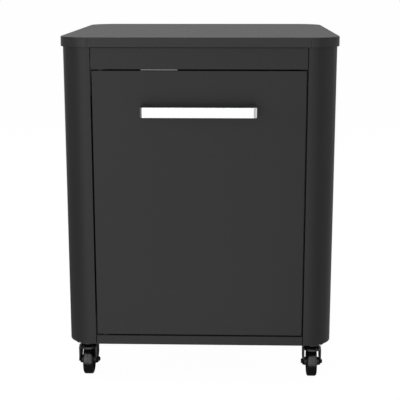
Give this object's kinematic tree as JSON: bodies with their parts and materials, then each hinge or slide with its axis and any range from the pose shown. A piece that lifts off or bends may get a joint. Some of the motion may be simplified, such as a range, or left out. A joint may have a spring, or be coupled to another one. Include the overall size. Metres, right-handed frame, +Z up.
{
  "type": "grill cart",
  "caption": "Wheeled steel storage cabinet for a tabletop grill, with a rounded worktop, a hinged door with a bow handle, a shelf and swivel casters.",
  "frame": {"origin": "centre of the whole object's plan box, on the floor under the wheels", "axes": "+Z up, the door and handle face -Y, +X to the right of someone who faces the door"},
  "size_m": [0.66, 0.71, 0.85],
  "materials": {
    "worktop_powder_coat": "satin fine-texture powder coat",
    "cabinet_powder_coat": "satin fine-texture powder coat",
    "inner_powder_coat": "matt powder coat",
    "bracket_steel": "black zinc",
    "zinc_plated_steel": "bright zinc plated",
    "black_screw": "black oxide",
    "polished_handle": "polished stainless steel",
    "soft_rubber": "matt",
    "moulded_nylon": "fine moulded texture",
    "magnet": "ground",
    "caster_tread": "matt",
    "caster_hub_plastic": "satin",
    "axle_steel": "black oxide",
    "caster_black_steel": "gloss black"
  },
  "bodies": {
    "cabinet": {"top_panel": "worktop_powder_coat", "top_stiffeners": "inner_powder_coat", "top_screws": "zinc_plated_steel", "side_panel_left": "cabinet_powder_coat", "side_panel_right": "cabinet_powder_coat", "rear_panel": "cabinet_powder_coat", "rear_screws": "black_screw", "hose_grommet": "soft_rubber", "floor_pan": "cabinet_powder_coat", "corner_plates": "inner_powder_coat", "front_top_rail": "cabinet_powder_coat", "front_bottom_rail": "cabinet_powder_coat", "shelf": "inner_powder_coat", "shelf_rails": "inner_powder_coat", "hinge_bracket_upper": "bracket_steel", "hinge_bracket_lower": "bracket_steel", "hinge_pins": "zinc_plated_steel", "door_stop": "inner_powder_coat", "door_bumpers": "soft_rubber", "catch_housing": "moulded_nylon", "catch_magnet": "magnet", "catch_screws": "zinc_plated_steel", "caster_bolts": "zinc_plated_steel", "caster_plate_front_left": "caster_black_steel", "caster_race_front_left": "caster_black_steel", "caster_kingpin_front_left": "caster_black_steel", "caster_plate_front_right": "caster_black_steel", "caster_race_front_right": "caster_black_steel", "caster_kingpin_front_right": "caster_black_steel", "caster_plate_rear_left": "caster_black_steel", "caster_race_rear_left": "caster_black_steel", "caster_kingpin_rear_left": "caster_black_steel", "caster_plate_rear_right": "caster_black_steel", "caster_race_rear_right": "caster_black_steel", "caster_kingpin_rear_right": "caster_black_steel"},
    "door": {"door_bushes": "moulded_nylon", "door_outer_panel": "cabinet_powder_coat", "door_inner_panel": "inner_powder_coat", "handle": "polished_handle", "handle_backer": "bracket_steel", "handle_screws": "zinc_plated_steel", "strike_plate": "zinc_plated_steel"},
    "swivel_front_left": {"caster_fork_front_left": "caster_black_steel", "caster_axle_front_left": "axle_steel"},
    "wheel_front_left": {"caster_tyre_front_left": "caster_tread", "caster_hub_front_left": "caster_hub_plastic"},
    "swivel_front_right": {"caster_fork_front_right": "caster_black_steel", "caster_axle_front_right": "axle_steel"},
    "wheel_front_right": {"caster_tyre_front_right": "caster_tread", "caster_hub_front_right": "caster_hub_plastic"},
    "swivel_rear_left": {"caster_fork_rear_left": "caster_black_steel", "caster_axle_rear_left": "axle_steel"},
    "wheel_rear_left": {"caster_tyre_rear_left": "caster_tread", "caster_hub_rear_left": "caster_hub_plastic"},
    "swivel_rear_right": {"caster_fork_rear_right": "caster_black_steel", "caster_axle_rear_right": "axle_steel"},
    "wheel_rear_right": {"caster_tyre_rear_right": "caster_tread", "caster_hub_rear_right": "caster_hub_plastic"}
  },
  "joints": [
    {"name": "door_hinge", "type": "hinge", "parent": "cabinet", "child": "door", "pos_m": [-0.2308, -0.303, 0.4495], "axis": [0, 0, -1], "range_deg": [0, 110]},
    {"name": "swivel_front_left", "type": "hinge", "parent": "cabinet", "child": "swivel_front_left", "pos_m": [-0.281, -0.266, 0.0867], "axis": [0, 0, 1], "continuous": true},
    {"name": "roll_front_left", "type": "hinge", "parent": "swivel_front_left", "child": "wheel_front_left", "pos_m": [-0.281, -0.248, 0.0375], "axis": [1, 0, 0], "continuous": true},
    {"name": "swivel_front_right", "type": "hinge", "parent": "cabinet", "child": "swivel_front_right", "pos_m": [0.281, -0.266, 0.0867], "axis": [0, 0, 1], "continuous": true},
    {"name": "roll_front_right", "type": "hinge", "parent": "swivel_front_right", "child": "wheel_front_right", "pos_m": [0.281, -0.248, 0.0375], "axis": [1, 0, 0], "continuous": true},
    {"name": "swivel_rear_left", "type": "hinge", "parent": "cabinet", "child": "swivel_rear_left", "pos_m": [-0.281, 0.306, 0.0867], "axis": [0, 0, 1], "continuous": true},
    {"name": "roll_rear_left", "type": "hinge", "parent": "swivel_rear_left", "child": "wheel_rear_left", "pos_m": [-0.281, 0.288, 0.0375], "axis": [1, 0, 0], "continuous": true},
    {"name": "swivel_rear_right", "type": "hinge", "parent": "cabinet", "child": "swivel_rear_right", "pos_m": [0.281, 0.306, 0.0867], "axis": [0, 0, 1], "continuous": true},
    {"name": "roll_rear_right", "type": "hinge", "parent": "swivel_rear_right", "child": "wheel_rear_right", "pos_m": [0.281, 0.288, 0.0375], "axis": [1, 0, 0], "continuous": true}
  ]
}
